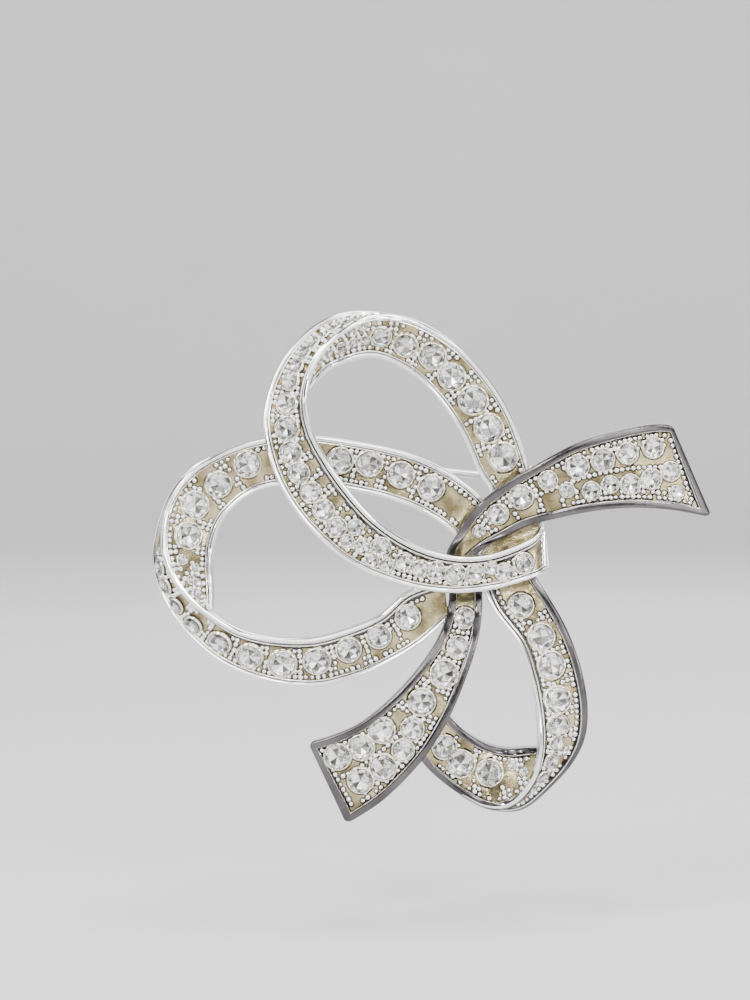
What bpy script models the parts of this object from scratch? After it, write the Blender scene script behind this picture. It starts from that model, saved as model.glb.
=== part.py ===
"""Rhinestone bow brooch: five cast ribbons round a knot, set stones, and a hinged pin with a roll-over catch.

Every size is in millimetres until a mesh is made. A point on the face is (x, z, rise): x to the right, z up, and
rise towards the viewer from the plane that the backs of the fittings share.
"""

import math

import bmesh
import bpy
from mathutils import Matrix, Vector

# Driving dimensions, in millimetres
MM = 0.001
PIN_MID = (0.6, 0.5)        # where the middle of the pin stem falls on the face drawing
BACK_GAP = 2.0              # from the pin's axis to the plane rise = 0
RAIL_WIDTH = 0.75           # polished rail along each edge of a ribbon
RAIL_RISE = 0.45            # height of the rails over the floor that carries the stones
RIBBON_DEPTH = 1.5          # casting depth from the rail crest to its back
STEPS = 3                   # sections lofted between two stations

PIN_TILT = 6.0              # degrees that the pin falls towards its catch
PIN_RADIUS = 0.4
PIN_REACH = 12.0            # from the middle of the pin to the hinge axis, and to the middle of the catch
PIN_POINT = 14.6            # from the middle of the pin to its point
RIVET_RADIUS = 0.3
KNUCKLE_RADIUS = 0.95
KNUCKLE_WIDTH = 0.9
CHEEK_GAP = 1.05
CHEEK_WIDTH = 0.5
CATCH_LENGTH = 2.4
CATCH_RADII = (1.18, 1.6)   # bore and outside of the fixed half of the catch
SLEEVE_RADII = (0.62, 1.12)
SLOT_WIDTH = 1.1
SOLDER_GAP = 0.04           # between a fitting's foot and the back of the ribbon it is soldered to

# Each ribbon band: pairs of stations, one on each edge, (x, z, rise)
UPPER_FRONT = [
    ((-0.6, 17.1, 3.6), (-0.5, 16.7, 5.5)), ((-3.5, 17.5, 2.4), (-2.9, 16.9, 6.1)),
    ((-7.2, 17.35, 2.7), (-5.9, 15.9, 6.9)), ((-10.5, 15.65, 3.1), (-8.2, 14.1, 7.2)),
    ((-13.3, 12.5, 3.9), (-10.0, 11.5, 7.4)),
    ((-15.0, 8.5, 5.0), (-10.7, 8.3, 7.5)), ((-15.3, 4.8, 6.2), (-10.1, 4.9, 7.5)),
    ((-13.9, -0.3, 7.0), (-8.6, 2.0, 7.5)), ((-10.9, -5.0, 7.4), (-6.3, -1.3, 7.6)),
    ((-6.3, -9.1, 7.7), (-3.4, -4.5, 7.7)), ((-0.8, -11.5, 7.9), (0.5, -7.1, 7.9)),
    ((4.5, -12.4, 8.0), (4.7, -8.4, 8.0)), ((9.2, -12.0, 8.0), (8.7, -8.3, 8.0)),
    ((13.2, -10.9, 7.6), (12.9, -6.8, 7.6)), ((14.6, -10.4, 6.6), (14.4, -5.7, 6.6)),
    ((15.0, -10.2, 4.6), (14.9, -5.4, 4.6)),
]
UPPER_BACK = [
    ((-10.7, 9.2, 7.3), (-10.1, 9.3, 6.6)), ((-9.5, 12.5, 7.0), (-8.3, 11.1, 4.6)),
    ((-7.3, 14.9, 6.6), (-6.3, 12.0, 3.8)), ((-3.7, 16.8, 6.0), (-3.7, 12.5, 3.4)),
    ((0.5, 16.5, 5.4), (-1.2, 11.7, 3.5)), ((4.8, 14.2, 5.0), (1.5, 9.9, 3.7)),
    ((8.2, 10.9, 4.6), (4.0, 7.1, 3.9)), ((10.9, 6.9, 4.3), (6.0, 3.9, 4.0)),
    ((12.7, 2.4, 4.0), (7.5, 0.5, 4.0)), ((13.9, -1.9, 3.8), (9.1, -2.2, 3.8)),
    ((14.9, -5.9, 4.2), (10.4, -5.3, 3.8)), ((15.3, -9.9, 4.6), (10.8, -8.6, 3.8)),
]
LEFT_BACK = [
    ((-21.8, -14.3, 6.8), (-20.6, -14.1, 6.2)), ((-23.9, -12.2, 6.7), (-20.6, -12.5, 4.6)),
    ((-25.5, -9.6, 6.4), (-20.8, -9.7, 3.8)), ((-26.1, -6.5, 5.9), (-20.6, -7.3, 3.6)),
    ((-25.5, -3.1, 5.3), (-19.8, -5.1, 3.5)), ((-23.6, -0.2, 4.8), (-18.5, -3.5, 3.4)),
    ((-20.4, 2.1, 4.3), (-16.8, -2.2, 3.3)), ((-16.0, 3.7, 3.8), (-14.7, -1.4, 3.2)),
    ((-10.9, 4.2, 3.5), (-10.9, -1.1, 3.2)), ((-5.2, 3.5, 3.4), (-6.1, -1.7, 3.4)),
    ((0.1, 2.3, 3.5), (-1.5, -2.8, 3.5)), ((4.4, 0.4, 3.5), (2.3, -4.4, 3.5)),
    ((8.3, -2.6, 3.2), (5.2, -6.6, 3.2)), ((10.6, -6.0, 2.6), (7.3, -9.4, 2.6)),
]
LEFT_FRONT = [
    ((-20.3, 2.3, 3.6), (-20.2, 2.1, 4.2)), ((-23.3, 0.7, 3.3), (-23.1, 0.3, 4.8)),
    ((-25.5, -2.0, 2.7), (-25.1, -2.2, 5.3)), ((-26.8, -5.2, 2.3), (-26.0, -5.2, 5.8)),
    ((-27.4, -8.3, 2.3), (-25.9, -8.2, 6.3)), ((-27.0, -11.7, 2.6), (-24.7, -11.1, 6.7)),
    ((-25.5, -14.9, 3.0), (-22.9, -13.3, 6.9)),
    ((-23.0, -17.9, 3.4), (-20.7, -15.0, 6.8)), ((-19.6, -20.5, 3.9), (-17.9, -16.6, 6.5)),
    ((-14.9, -22.3, 4.2), (-14.4, -17.4, 6.0)), ((-9.7, -22.8, 4.2), (-10.2, -17.5, 5.4)),
    ((-4.8, -21.6, 4.0), (-6.3, -16.5, 4.9)), ((-0.5, -19.5, 3.9), (-2.9, -15.0, 4.4)),
    ((1.9, -17.9, 3.9), (0.1, -12.5, 4.1)), ((4.6, -15.4, 3.6), (4.0, -11.2, 3.6)),
]
LOWER_FRONT = [
    ((12.8, -9.4, 4.0), (8.8, -11.0, 4.0)), ((15.0, -12.7, 4.5), (9.8, -14.9, 4.6)),
    ((17.2, -16.5, 4.6), (11.8, -18.0, 5.1)), ((18.7, -20.5, 4.5), (13.1, -21.7, 5.6)),
    ((19.5, -24.7, 4.2), (13.8, -25.1, 6.0)), ((19.3, -28.2, 3.7), (14.1, -28.0, 6.2)),
    ((18.0, -31.1, 3.2), (14.0, -30.4, 6.3)), ((15.9, -33.6, 2.7), (13.5, -32.5, 6.1)),
    ((13.2, -36.0, 2.4), (12.1, -34.6, 5.5)), ((10.9, -36.6, 2.2), (10.3, -35.7, 4.7)),
    ((8.3, -36.1, 2.4), (8.2, -35.6, 4.0)), ((5.9, -34.8, 2.6), (6.0, -34.5, 3.4)),
]
LOWER_BACK = [
    ((14.2, -30.0, 6.0), (13.9, -29.1, 5.2)), ((13.6, -32.7, 5.8), (12.7, -29.3, 3.8)),
    ((11.9, -35.0, 5.0), (11.0, -29.5, 3.0)), ((9.3, -36.1, 4.0), (8.8, -29.1, 2.8)),
    ((5.9, -34.6, 3.3), (6.7, -28.0, 2.8)), ((2.8, -32.2, 3.2), (5.0, -26.4, 3.0)),
    ((0.6, -29.4, 4.2), (3.9, -24.6, 4.2)),
]
RIGHT_TAIL = [
    ((4.9, -10.6, 3.4), (7.9, -10.6, 3.4)), ((4.2, -8.7, 4.2), (6.9, -9.4, 4.0)),
    ((5.3, -6.4, 5.0), (8.3, -7.9, 4.8)), ((7.1, -3.6, 6.2), (10.4, -6.7, 5.6)),
    ((9.8, -1.2, 7.0), (12.8, -5.4, 6.7)), ((13.5, 1.1, 7.4), (15.7, -4.6, 7.3)),
    ((17.8, 3.4, 7.4), (19.5, -3.8, 7.5)), ((22.3, 4.8, 7.0), (23.5, -3.4, 7.5)),
    ((26.0, 5.5, 6.5), (28.0, -3.6, 7.3)), ((28.2, 5.4, 6.1), (32.4, -4.4, 6.9)),
]
LEFT_TAIL = [
    ((4.6, -11.0, 3.4), (8.1, -11.0, 3.4)), ((4.4, -14.0, 4.6), (8.1, -14.0, 4.6)),
    ((3.6, -16.8, 4.8), (7.7, -17.4, 4.8)), ((1.8, -19.8, 5.3), (6.5, -21.3, 5.3)),
    ((-1.1, -23.2, 5.7), (4.6, -25.8, 5.7)), ((-4.6, -26.2, 5.9), (1.8, -30.3, 5.9)),
    ((-7.6, -27.7, 5.7), (-2.3, -34.6, 5.7)), ((-10.6, -28.7, 5.2), (-6.5, -37.5, 5.2)),
]

# The large stones, one node each: (x, z, width) on the face
STONES = {
    "upper_back": (UPPER_BACK, [
        (-2.7, 14.6, 2.1), (-0.1, 13.7, 2.4), (2.7, 12.6, 2.7), (4.8, 10.4, 2.7), (7.1, 7.9, 2.9), (8.8, 4.9, 2.9),
        (10.3, 1.8, 2.9)]),
    "left_back": (LEFT_BACK, [
        (2.6, -1.4, 2.6), (-0.7, 0.0, 2.6), (-4.1, 1.2, 2.6), (-7.1, 1.5, 2.6), (-17.0, 1.1, 2.6), (-20.1, -1.1, 2.6),
        (-22.6, -3.3, 2.7), (-23.2, -6.4, 2.6)]),
    "left_front": (LEFT_FRONT, [
        (-23.1, -16.4, 2.1), (-20.2, -18.1, 2.4), (-16.8, -19.5, 2.6), (-13.3, -20.3, 2.8), (-9.6, -20.0, 2.7),
        (-6.2, -18.8, 2.5), (-3.0, -17.4, 2.4), (0.1, -15.3, 2.5)]),
    "left_tail": (LEFT_TAIL, [
        (6.2, -15.3, 2.3), (5.5, -18.4, 2.5), (4.0, -21.2, 2.8), (1.6, -24.2, 2.7), (0.6, -27.1, 2.2),
        (-2.8, -27.3, 2.5), (-0.5, -29.3, 2.3), (-4.9, -29.2, 2.6), (-7.4, -30.1, 2.7), (-2.5, -31.4, 2.7),
        (-4.8, -32.7, 2.7)]),
    "lower_front": (LOWER_FRONT, [
        (12.2, -13.9, 2.5), (14.4, -17.3, 2.7), (15.5, -20.4, 2.8), (16.2, -24.0, 2.8), (16.3, -26.8, 2.3)]),
    "lower_back": (LOWER_BACK, [
        (4.1, -29.4, 2.3), (5.9, -31.1, 2.8), (8.9, -32.1, 2.7)]),
}

# The rows of small stones, each row one node on a strip of cement: (x, z, width) on the face
ROWS = {
    "upper_front_row": (UPPER_FRONT, [
        (-12.6, 10.6, 1.7), (-12.9, 7.5, 2.0), (-12.8, 5.0, 2.2), (-12.4, 2.4, 2.1), (-11.4, 0.2, 2.1),
        (-10.0, -1.9, 2.1), (-8.6, -4.0, 2.1), (-6.9, -5.8, 2.0), (-4.9, -7.3, 1.9), (-2.5, -8.5, 2.0),
        (0.1, -9.4, 1.9), (2.6, -10.0, 1.9), (5.1, -10.4, 2.0), (7.6, -10.4, 1.8), (10.2, -10.0, 1.9)]),
    "right_tail_upper_row": (RIGHT_TAIL, [
        (9.6, -4.0, 1.8), (12.0, -2.4, 2.0), (14.6, -0.7, 1.9), (18.1, 0.8, 2.0), (20.9, 1.8, 2.1),
        (23.6, 2.2, 2.0), (26.2, 2.9, 1.9)]),
    "right_tail_lower_row": (RIGHT_TAIL, [
        (16.7, -2.1, 1.6), (19.8, -1.6, 1.8), (22.5, -1.0, 1.9), (25.3, -0.8, 2.0), (28.1, -0.6, 1.9)]),
}


def clear_scene():
    for obj in list(bpy.data.objects):
        bpy.data.objects.remove(obj, do_unlink=True)


def placed(x, z, rise):
    """A point of the face drawing in the object's own frame, still in millimetres."""
    return Vector((x - PIN_MID[0], -(rise + BACK_GAP), z - PIN_MID[1]))


def spline(points, u):
    """Catmull-Rom through the points, u counting stations."""
    last = len(points) - 1
    i = min(int(u), last - 1)
    f = u - i
    p1, p2 = points[i], points[i + 1]
    p0 = points[i - 1] if i > 0 else 2 * p1 - p2
    p3 = points[i + 2] if i + 2 <= last else 2 * p2 - p1
    return 0.5 * (2 * p1 + (p2 - p0) * f + (2 * p0 - 5 * p1 + 4 * p2 - p3) * f ** 2
                  + (3 * p1 - p0 - 3 * p2 + p3) * f ** 3)


class Band:
    """A ribbon band ruled between its two edges."""

    def __init__(self, stations):
        self.first = [placed(*a) for a, _ in stations]
        self.second = [placed(*b) for _, b in stations]
        self.last = len(stations) - 1

    def edges(self, u):
        return spline(self.first, u), spline(self.second, u)

    def frame(self, u):
        """The two edge points and the unit normal that faces the viewer."""
        a, b = self.edges(u)
        lo, hi = max(u - 0.05, 0.0), min(u + 0.05, self.last)
        along = sum(self.edges(hi), Vector()) - sum(self.edges(lo), Vector())
        normal = along.cross(b - a).normalized()
        return a, b, normal

    def facing(self):
        """+1 or -1, whichever turns the normal of the broad middle of the band to the viewer."""
        return -1.0 if self.frame(self.last * 0.6)[2].y > 0 else 1.0

    def find(self, x, z):
        """(u, share across) of the surface point that shows at this place on the face."""
        target = placed(x, z, 0)
        best = None
        for k in range(self.last * 20 + 1):
            a, b = self.edges(k / 20)
            for m in range(4, 17):
                p = a.lerp(b, m / 20)
                away = (p.x - target.x) ** 2 + (p.z - target.z) ** 2
                if best is None or away < best[0]:
                    best = (away, k / 20, m / 20)
        return best[1], best[2]


def section(band, u, lean, depth):
    """The ten corners of a ribbon's channel section at u."""
    a, b, normal = band.frame(u)
    normal = normal * band.facing()
    across = (b - a).normalized()
    width = (b - a).length
    rail = min(RAIL_WIDTH, 0.28 * width)
    rise = RAIL_RISE * min(1.0, width / 2.5)
    top = [(0, 0.35 * rise), (0.3 * rail, 0), (0.7 * rail, 0), (rail, rise),
           (width - rail, rise), (width - 0.7 * rail, 0), (width - 0.3 * rail, 0), (width, 0.35 * rise)]
    corners = [a + across * s - normal * down for s, down in top]
    back = Vector((-normal.x * lean, 1.0, -normal.z * lean)) * depth
    return corners + [b + back, a + back]


def mesh_object(name, points, faces, smooth=False):
    mesh = bpy.data.meshes.new(name)
    mesh.from_pydata([p * MM for p in points], [], faces)
    shape = bmesh.new()
    shape.from_mesh(mesh)
    bmesh.ops.recalc_face_normals(shape, faces=shape.faces)
    shape.to_mesh(mesh)
    shape.free()
    for face in mesh.polygons:
        face.use_smooth = smooth
    obj = bpy.data.objects.new(name, mesh)
    bpy.context.collection.objects.link(obj)
    return obj


def lofted(name, sections):
    """A closed body through rings of corners, capped at both ends."""
    count = len(sections[0])
    points = [p for ring in sections for p in ring]
    faces = [list(range(count))[::-1], [(len(sections) - 1) * count + k for k in range(count)]]
    for i in range(len(sections) - 1):
        for k in range(count):
            n = (k + 1) % count
            faces.append([i * count + k, i * count + n, (i + 1) * count + n, (i + 1) * count + k])
    return mesh_object(name, points, faces)


def ribbon(name, stations, lean=0.0, depth=RIBBON_DEPTH):
    band = Band(stations)
    steps = band.last * STEPS
    return lofted(name, [section(band, i * band.last / steps, lean, depth) for i in range(steps + 1)])


def joined(target, helper, operation):
    """Adds a Boolean by a helper, which is hidden unless it is a node of its own."""
    modifier = target.modifiers.new(operation.lower() + "_" + helper.name, "BOOLEAN")
    modifier.operation = operation
    modifier.solver = "EXACT"
    modifier.object = helper
    return target


def helper(obj):
    obj.hide_render = True
    obj.display_type = "WIRE"
    return obj


def stone_rings(centre, normal, along, width, floor):
    """Rings of a flat-backed stone with eight sides: back, girdle foot, girdle, table."""
    side = normal.cross(along).normalized()
    ahead = side.cross(normal).normalized()
    rings = []
    for share, height in ((0.66, floor), (1.0, floor + 0.36), (1.0, floor + 0.5), (0.56, floor + 0.88)):
        ring = []
        for k in range(8):
            angle = math.radians(45 * k + 22.5)
            spoke = ahead * math.cos(angle) + side * math.sin(angle)
            ring.append(centre + spoke * share * width / 2 + normal * height)
        rings.append(ring)
    return rings


def stone_seat(band, x, z, width):
    """Centre, normal, direction along the ribbon, and the width that clears both rails."""
    u, share = band.find(x, z)
    a, b, normal = band.frame(u)
    normal = normal * band.facing()
    after = band.edges(min(u + 0.05, band.last))
    before = band.edges(max(u - 0.05, 0.0))
    along = (sum(after, Vector()) - sum(before, Vector())).normalized()
    room = (b - a).length * min(share, 1 - share) - min(RAIL_WIDTH, 0.28 * (b - a).length)
    return a.lerp(b, share), normal, along, min(width, 2 * room - 0.06)


def stone(name, band, x, z, width):
    centre, normal, along, width = stone_seat(band, x, z, width)
    return lofted(name, stone_rings(centre, normal, along, width, 0.08 - RAIL_RISE))


def stone_row(name, stations, stones):
    """Small stones on the strip of cement that holds them in the channel, as one body."""
    band = Band(stations)
    seats = [stone_seat(band, *entry) for entry in stones]
    rings = []
    for centre, normal, along, _ in seats:
        across = normal.cross(along).normalized() * 0.35
        low, high = normal * (0.17 - RAIL_RISE), normal * (0.34 - RAIL_RISE)
        rings.append([centre - across + low, centre + across + low, centre + across + high, centre - across + high])
    row = lofted(name, rings)
    for k, (centre, normal, along, width) in enumerate(seats):
        bit = lofted(f"{name}_bit_{k}", stone_rings(centre, normal, along, width, 0.08 - RAIL_RISE))
        joined(row, helper(bit), "UNION")
    return row


def block(name, corners, low, high):
    """A prism between two rises, from its outline on the face."""
    return lofted(name, [[placed(x, z, low) for x, z in corners], [placed(x, z, high) for x, z in corners]])


# The pin's own frame: s along the pin, t up the face and across the pin, y away from the wearer's front
PIN_ALONG = Vector((math.cos(math.radians(PIN_TILT)), 0, -math.sin(math.radians(PIN_TILT))))
PIN_ACROSS = Vector((math.sin(math.radians(PIN_TILT)), 0, math.cos(math.radians(PIN_TILT))))
OUT_BACK = Vector((0, 1, 0))


def at_pin(s, t, y):
    return PIN_ALONG * s + PIN_ACROSS * t + OUT_BACK * y


def disc(radius, sides=24):
    return [(radius * math.cos(math.tau * k / sides), radius * math.sin(math.tau * k / sides)) for k in range(sides)]


def rod_along(name, profile, sides=24):
    """A turned piece about the pin's axis: (s, radius) pairs."""
    return lofted(name, [[at_pin(s, p, q) for p, q in disc(radius, sides)] for s, radius in profile])


def rod_across(name, s, y, radius, low, high, sides=24):
    """A cylinder parallel to the hinge axis."""
    return lofted(name, [[at_pin(s + p, t, y + q) for p, q in disc(radius, sides)] for t in (low, high)])


def pin_box(name, s, t, y):
    """A box in the pin's frame, each argument a (low, high) pair."""
    ring = ((t[0], y[0]), (t[1], y[0]), (t[1], y[1]), (t[0], y[1]))
    return lofted(name, [[at_pin(end, p, q) for p, q in ring] for end in s])


def split_tube(name, s_low, s_high, bore, outside, half_slot):
    """A tube about the pin's axis with a slot towards the back, where the pin comes out."""
    inner = math.asin(half_slot / bore)
    outer = math.asin(half_slot / outside)
    steps = 20
    ring = []
    for k in range(steps + 1):
        angle = math.pi / 2 + outer + (math.tau - 2 * outer) * k / steps
        ring.append((outside * math.cos(angle), outside * math.sin(angle)))
    for k in range(steps, -1, -1):
        angle = math.pi / 2 + inner + (math.tau - 2 * inner) * k / steps
        ring.append((bore * math.cos(angle), bore * math.sin(angle)))
    return lofted(name, [[at_pin(s, p, q) for p, q in ring] for s in (s_low, s_high)])


def material(name, color, metallic, roughness, transmission=0.0):
    made = bpy.data.materials.new(name)
    made.use_nodes = True
    made.diffuse_color = (*color, 1.0)
    shader = made.node_tree.nodes["Principled BSDF"]
    shader.inputs["Base Color"].default_value = (*color, 1.0)
    shader.inputs["Metallic"].default_value = metallic
    shader.inputs["Roughness"].default_value = roughness
    shader.inputs["Transmission Weight"].default_value = transmission
    return made


def build_ribbons():
    upper = ribbon("upper_loop", UPPER_FRONT, lean=0.35)
    joined(upper, helper(ribbon("upper_back_band", UPPER_BACK)), "UNION")
    left = ribbon("left_loop", LEFT_FRONT, lean=0.35)
    joined(left, helper(ribbon("left_back_band", LEFT_BACK)), "UNION")
    lower = ribbon("lower_loop", LOWER_FRONT, lean=0.35)
    joined(lower, helper(ribbon("lower_back_band", LOWER_BACK)), "UNION")
    right_tail = ribbon("right_tail", RIGHT_TAIL)
    left_tail = ribbon("left_tail", LEFT_TAIL)
    core = block("knot_core", [(5.6, -8.6), (5.6, -11.6), (13.2, -11.2), (13.6, -8.2)], 1.0, 6.3)
    joined(core, upper, "DIFFERENCE")
    for piece in (left, lower, right_tail, left_tail):
        joined(piece, core, "DIFFERENCE")
    joined(left, left_tail, "DIFFERENCE")
    joined(lower, left_tail, "DIFFERENCE")
    joined(left, right_tail, "DIFFERENCE")
    return [upper, left, lower, right_tail, left_tail, core]


def build_stones():
    made = []
    for group, (stations, stones) in STONES.items():
        band = Band(stations)
        for k, (x, z, width) in enumerate(stones):
            made.append(stone(f"stone_{group}_{k + 1:02d}", band, x, z, width))
    for name, (stations, stones) in ROWS.items():
        made.append(stone_row(name, stations, stones))
    return made


def build_pin():
    """The pin fittings. Every moving piece has its origin on its own joint axis."""
    hinge_s, catch_s = -PIN_REACH, PIN_REACH
    half_cheek = CHEEK_GAP / 2 + CHEEK_WIDTH
    base = pin_box("hinge_base", (hinge_s - 1.5, hinge_s + 1.7), (-1.6, 1.6), (-3.9, -1.6))
    for side in (-1, 1):
        near, far = sorted((side * CHEEK_GAP / 2, side * half_cheek))
        cheek = pin_box(f"cheek_{side}", (hinge_s - 0.9, hinge_s + 0.9), (near, far), (-1.9, 0.3))
        joined(base, helper(cheek), "UNION")
        ear = rod_across(f"ear_{side}", hinge_s, 0.25, 0.9, near, far)
        joined(base, helper(ear), "UNION")
    rivet = rod_across("hinge_rivet", hinge_s, 0, RIVET_RADIUS, -half_cheek - 0.15, half_cheek + 0.15, 20)
    joined(base, rivet, "DIFFERENCE")

    pin = rod_across("pin_stem", hinge_s, 0, KNUCKLE_RADIUS, -KNUCKLE_WIDTH / 2, KNUCKLE_WIDTH / 2)
    wire = rod_along("pin_wire", [(hinge_s + 0.6, PIN_RADIUS), (PIN_POINT - 4.5, PIN_RADIUS),
                                  (PIN_POINT - 1.6, 0.24), (PIN_POINT, 0.05)], 16)
    joined(pin, helper(wire), "UNION")
    bore = rod_across("rivet_bore", hinge_s, 0, RIVET_RADIUS + 0.06, -1.0, 1.0)
    joined(pin, helper(bore), "DIFFERENCE")

    low, high = catch_s - CATCH_LENGTH / 2, catch_s + CATCH_LENGTH / 2
    catch = split_tube("catch_base", low, high, *CATCH_RADII, SLOT_WIDTH / 2 + 0.1)
    foot = pin_box("catch_foot", (low - 0.3, high + 0.3), (-1.5, 1.5), (-4.9, -1.35))
    joined(catch, helper(foot), "UNION")
    sleeve = split_tube("catch_sleeve", low - 0.2, high + 0.95, *SLEEVE_RADII, SLOT_WIDTH / 2)
    lever_angle = math.radians(90 + 55)
    tip = (math.cos(lever_angle), math.sin(lever_angle))
    beside = (-tip[1] * 0.28, tip[0] * 0.28)
    ring = [(tip[0] * reach + beside[0] * flip, tip[1] * reach + beside[1] * flip)
            for reach, flip in ((0.8, -1), (2.5, -1), (2.5, 1), (0.8, 1))]
    lever = lofted("catch_lever", [[at_pin(s, p, q) for p, q in ring] for s in (high + 0.2, high + 0.9)])
    joined(sleeve, helper(lever), "UNION")
    return base, rivet, pin, catch, sleeve


def origin_to(obj, point):
    """Moves the object's origin to a point without moving its shape."""
    obj.data.transform(Matrix.Translation(-point * MM))
    obj.location = point * MM


def main():
    clear_scene()
    ribbons = build_ribbons()
    stones = build_stones()
    base, rivet, pin, catch, sleeve = build_pin()
    for fitting, stations in ((base, LEFT_BACK), (catch, UPPER_BACK)):
        seat = ribbon(fitting.name + "_seat", stations, depth=RIBBON_DEPTH + SOLDER_GAP)
        joined(fitting, helper(seat), "DIFFERENCE")
    origin_to(pin, at_pin(-PIN_REACH, 0, 0))
    origin_to(sleeve, at_pin(PIN_REACH, 0, 0))
    plate = material("plated_metal", (0.83, 0.82, 0.78), 1.0, 0.12)
    steel = material("pin_steel", (0.72, 0.72, 0.72), 1.0, 0.2)
    crystal = material("clear_crystal", (0.95, 0.97, 0.98), 0.0, 0.02, 0.6)
    for obj in ribbons + [base, rivet, catch, sleeve]:
        obj.data.materials.append(plate)
    pin.data.materials.append(steel)
    for obj in stones:
        obj.data.materials.append(crystal)


main()
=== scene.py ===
import math

import bmesh
import bpy
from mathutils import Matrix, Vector


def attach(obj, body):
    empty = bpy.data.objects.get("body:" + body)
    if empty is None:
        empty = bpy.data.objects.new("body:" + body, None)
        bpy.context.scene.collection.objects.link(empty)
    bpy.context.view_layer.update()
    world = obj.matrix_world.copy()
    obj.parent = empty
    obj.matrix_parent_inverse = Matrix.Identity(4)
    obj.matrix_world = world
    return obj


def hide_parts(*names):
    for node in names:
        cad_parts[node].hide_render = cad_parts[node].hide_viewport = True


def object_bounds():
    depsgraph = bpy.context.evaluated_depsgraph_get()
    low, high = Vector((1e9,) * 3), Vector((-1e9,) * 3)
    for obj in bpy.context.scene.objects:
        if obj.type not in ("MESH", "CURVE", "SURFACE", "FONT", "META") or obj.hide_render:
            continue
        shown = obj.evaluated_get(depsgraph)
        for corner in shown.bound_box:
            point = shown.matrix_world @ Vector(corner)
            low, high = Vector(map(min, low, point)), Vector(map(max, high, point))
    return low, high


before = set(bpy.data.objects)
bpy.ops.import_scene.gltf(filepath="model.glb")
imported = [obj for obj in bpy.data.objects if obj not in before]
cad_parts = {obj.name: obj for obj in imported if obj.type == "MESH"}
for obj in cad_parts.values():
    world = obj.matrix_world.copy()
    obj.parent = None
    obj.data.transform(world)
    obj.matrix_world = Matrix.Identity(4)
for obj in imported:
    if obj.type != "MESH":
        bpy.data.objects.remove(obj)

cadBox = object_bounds()
mm = 0.001


# sockets that add up, and one way to make any other node

class Socket:
    def __init__(self, tree, socket):
        self.tree = tree
        self.socket = socket

    def calc(self, operation, first, second):
        return self.tree.add("ShaderNodeMath", {"operation": operation}, {0: first, 1: second})

    def __add__(self, other):
        return self.calc("ADD", self, other)

    def __sub__(self, other):
        return self.calc("SUBTRACT", self, other)

    def __rsub__(self, other):
        return self.calc("SUBTRACT", other, self)

    def __mul__(self, other):
        return self.calc("MULTIPLY", self, other)

    __radd__ = __add__
    __rmul__ = __mul__


class Nodes:
    def __init__(self, tree):
        self.tree = tree

    def add(self, kind, settings=None, inputs=None, output=0):
        node = self.tree.nodes.new(kind)
        for name, value in (settings or {}).items():
            setattr(node, name, value)
        for name, value in (inputs or {}).items():
            self.feed(node.inputs[name], value)
        return Socket(self, node.outputs[output])

    def feed(self, target, value):
        if isinstance(value, Socket):
            self.tree.links.new(value.socket, target)
        else:
            target.default_value = value


def finish(name, build, **fixed):
    made = bpy.data.materials.new(name)
    made.use_nodes = True
    nodes = Nodes(made.node_tree)
    shader = made.node_tree.nodes["Principled BSDF"]
    for key, value in fixed.items():
        shader.inputs[key.replace("_", " ")].default_value = value
    for key, value in build(nodes).items():
        nodes.feed(shader.inputs[key], value)
    return made


# each finish drifts between two colours
plateLook = {"bright": (0.96, 0.96, 0.95), "dull": (0.86, 0.86, 0.85),
             "floorPale": (0.54, 0.46, 0.27), "floorDeep": (0.20, 0.16, 0.08),
             "shadePale": (0.13, 0.12, 0.11), "shadeDeep": (0.04, 0.04, 0.04),
             "rimPale": (0.15, 0.14, 0.142), "rimDeep": (0.07, 0.064, 0.066),
             "seatPale": (0.92, 0.88, 0.76), "seatDeep": (0.72, 0.66, 0.50),
             "backPale": (0.74, 0.73, 0.71), "backDeep": (0.50, 0.49, 0.47)}
wireLook = {"pale": (0.80, 0.80, 0.79), "deep": (0.66, 0.66, 0.66), "drawnOut": (60.0, 2400.0, 2400.0)}
# lit and paintedDarkFacet paint the foil's glints; lit and tint are also the glass crown's own white
stoneLook = {"lit": (1.0, 1.0, 1.0), "paintedDarkFacet": (0.16, 0.15, 0.13), "tint": (0.99, 0.99, 0.97)}


def patch(nodes, scale, detail=3.0):
    place = nodes.add("ShaderNodeTexCoord", output=3)
    return nodes.add("ShaderNodeTexNoise", inputs={"Vector": place, "Scale": scale, "Detail": detail})


def blendOf(nodes, share, first, second):
    return nodes.add("ShaderNodeMix", {"data_type": "RGBA"},
                     {"Factor": share, 6: (*first, 1.0), 7: (*second, 1.0)}, output=2)


def bumpOf(nodes, height, strength, distance):
    return nodes.add("ShaderNodeBump", inputs={
        "Height": height, "Strength": strength, "Distance": distance})


# more contrast than the noise gives by itself
def steep(nodes, value, low, high):
    return nodes.add("ShaderNodeMapRange", inputs={"Value": value, "From Min": low, "From Max": high})


def polishedPlate(nodes):
    clouds = patch(nodes, 160.0)
    wear = patch(nodes, 900.0, 2.0)
    return {"Base Color": blendOf(nodes, clouds, plateLook["bright"], plateLook["dull"]),
            "Roughness": 0.03 + 0.08 * wear,
            "Normal": bumpOf(nodes, clouds, 0.10, 0.0001)}


# painted reflection and shade: the channel floors' warm beige stands in for the warm surroundings the plate
# reflects, darkened towards olive so the beads get a shaded outline; the mottling between the two is random
def channelFloor(nodes):
    clouds = patch(nodes, 420.0)
    pits = patch(nodes, 1500.0, 4.0)
    mottle = steep(nodes, clouds, 0.38, 0.62)
    return {"Base Color": blendOf(nodes, mottle, plateLook["floorPale"], plateLook["floorDeep"]),
            "Roughness": 0.14 + 0.16 * pits,
            "Normal": bumpOf(nodes, pits, 0.45, 0.00014)}


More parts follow.
